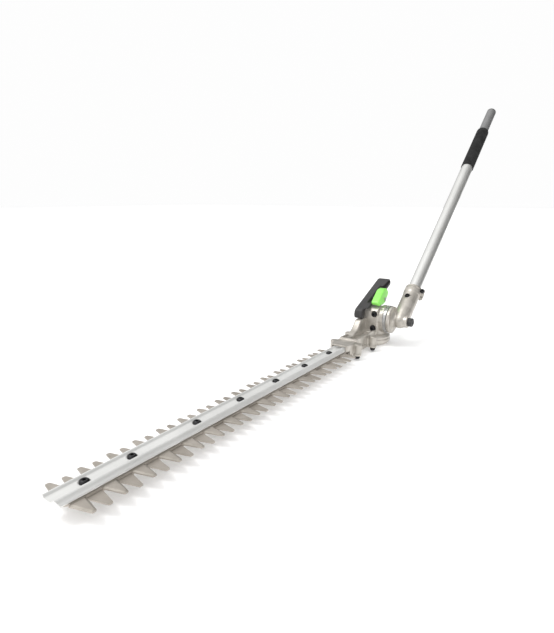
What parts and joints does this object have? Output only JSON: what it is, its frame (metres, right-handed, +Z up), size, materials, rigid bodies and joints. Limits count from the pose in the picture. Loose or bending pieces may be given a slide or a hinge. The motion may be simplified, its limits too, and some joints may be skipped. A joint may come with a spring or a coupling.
{
  "type": "hedge trimmer",
  "caption": "Pole hedge trimmer attachment: long double-sided reciprocating blade on a guide bar, gear case with fixed handle and unlock lever, and a tilting elbow holding the shaft tube.",
  "frame": {"origin": "middle of the bottom cover's flat face, straight below the tilt axis", "axes": "+Y from the blade's free end towards the shaft tube, +Z up, +X towards the side the tube is on"},
  "size_m": [0.116, 1.2833, 0.5122],
  "materials": {
    "cast_aluminium": "satin, slightly warm, as cast",
    "drawn_aluminium": "smooth satin",
    "blade_steel": "ground, warm grey",
    "plain_steel": "plain",
    "black_steel": "black oxide",
    "black_plastic": "fine texture",
    "green_plastic": "smooth",
    "foam": "matt foam rubber"
  },
  "bodies": {
    "chassis": {"gear_case": "cast_aluminium", "bottom_cover": "cast_aluminium", "guide_bar": "drawn_aluminium", "bar_bolt_1": "black_steel", "bar_bolt_2": "black_steel", "bar_bolt_3": "black_steel", "bar_bolt_4": "black_steel", "bar_bolt_5": "black_steel", "bar_bolt_6": "black_steel", "bar_bolt_7": "black_steel", "bar_nut_1": "plain_steel", "bar_nut_2": "plain_steel", "bar_nut_3": "plain_steel", "bar_nut_4": "plain_steel", "bar_nut_5": "plain_steel", "bar_nut_6": "plain_steel", "bar_nut_7": "plain_steel", "case_bolt_1": "black_steel", "case_bolt_2": "black_steel", "case_bolt_3": "black_steel", "case_bolt_4": "black_steel", "pivot_screw_1": "black_steel", "pivot_screw_2": "black_steel", "grip_handle": "black_plastic", "lever_pin": "plain_steel", "lever_clip": "plain_steel", "crank_bearing": "plain_steel", "cross_bearing": "plain_steel"},
    "head": {"lock_disc": "plain_steel", "elbow_housing": "cast_aluminium", "pivot_cap": "black_plastic", "clamp_screw": "black_steel", "locating_screw": "black_steel", "shaft_tube": "drawn_aluminium", "coupling_tube": "plain_steel", "foam_grip": "foam", "drive_bearing": "plain_steel", "shaft_bush_1": "black_plastic", "shaft_bush_2": "black_plastic", "shaft_bush_3": "black_plastic", "end_plug": "black_plastic"},
    "upper_blade": {"upper_blade": "blade_steel"},
    "lower_blade": {"lower_blade": "blade_steel"},
    "lever": {"unlock_lever": "green_plastic"},
    "crank": {"crank_gear": "plain_steel"},
    "cross": {"cross_shaft": "plain_steel"},
    "drive": {"drive_shaft": "plain_steel"}
  },
  "joints": [
    {"name": "head_tilt", "type": "hinge", "parent": "chassis", "child": "head", "pos_m": [0, 0, 0.051], "axis": [1, 0, 0], "range_deg": [-37.5, 142.5]},
    {"name": "upper_blade_slide", "type": "slide", "parent": "chassis", "child": "upper_blade", "axis": [0, 1, 0], "range_m": [-0.0085, 0.0085]},
    {"name": "lower_blade_slide", "type": "slide", "parent": "chassis", "child": "lower_blade", "axis": [0, 1, 0], "range_m": [-0.0085, 0.0085]},
    {"name": "unlock_lever_pivot", "type": "hinge", "parent": "chassis", "child": "lever", "pos_m": [0.0105, 0.008, 0.088], "axis": [-1, 0, 0], "range_deg": [0, 12], "stiffness_Nm_per_rad": 0.2, "springref_deg": -20.05},
    {"name": "crank_spin", "type": "hinge", "parent": "chassis", "child": "crank", "pos_m": [0, 0, 0.025], "axis": [0, 0, 1], "continuous": true},
    {"name": "cross_spin", "type": "hinge", "parent": "chassis", "child": "cross", "pos_m": [0, 0, 0.051], "axis": [1, 0, 0], "continuous": true},
    {"name": "drive_spin", "type": "hinge", "parent": "head", "child": "drive", "pos_m": [0.054, 0, 0.051], "axis": [0, 0.7934, 0.6088], "continuous": true}
  ],
  "couplings": [
    {"joint": "lower_blade_slide", "follows": "upper_blade_slide", "ratio": -1},
    {"joint": "cross_spin", "follows": "crank_spin", "ratio": 1.2857},
    {"joint": "drive_spin", "follows": "crank_spin", "ratio": 1.2857}
  ]
}
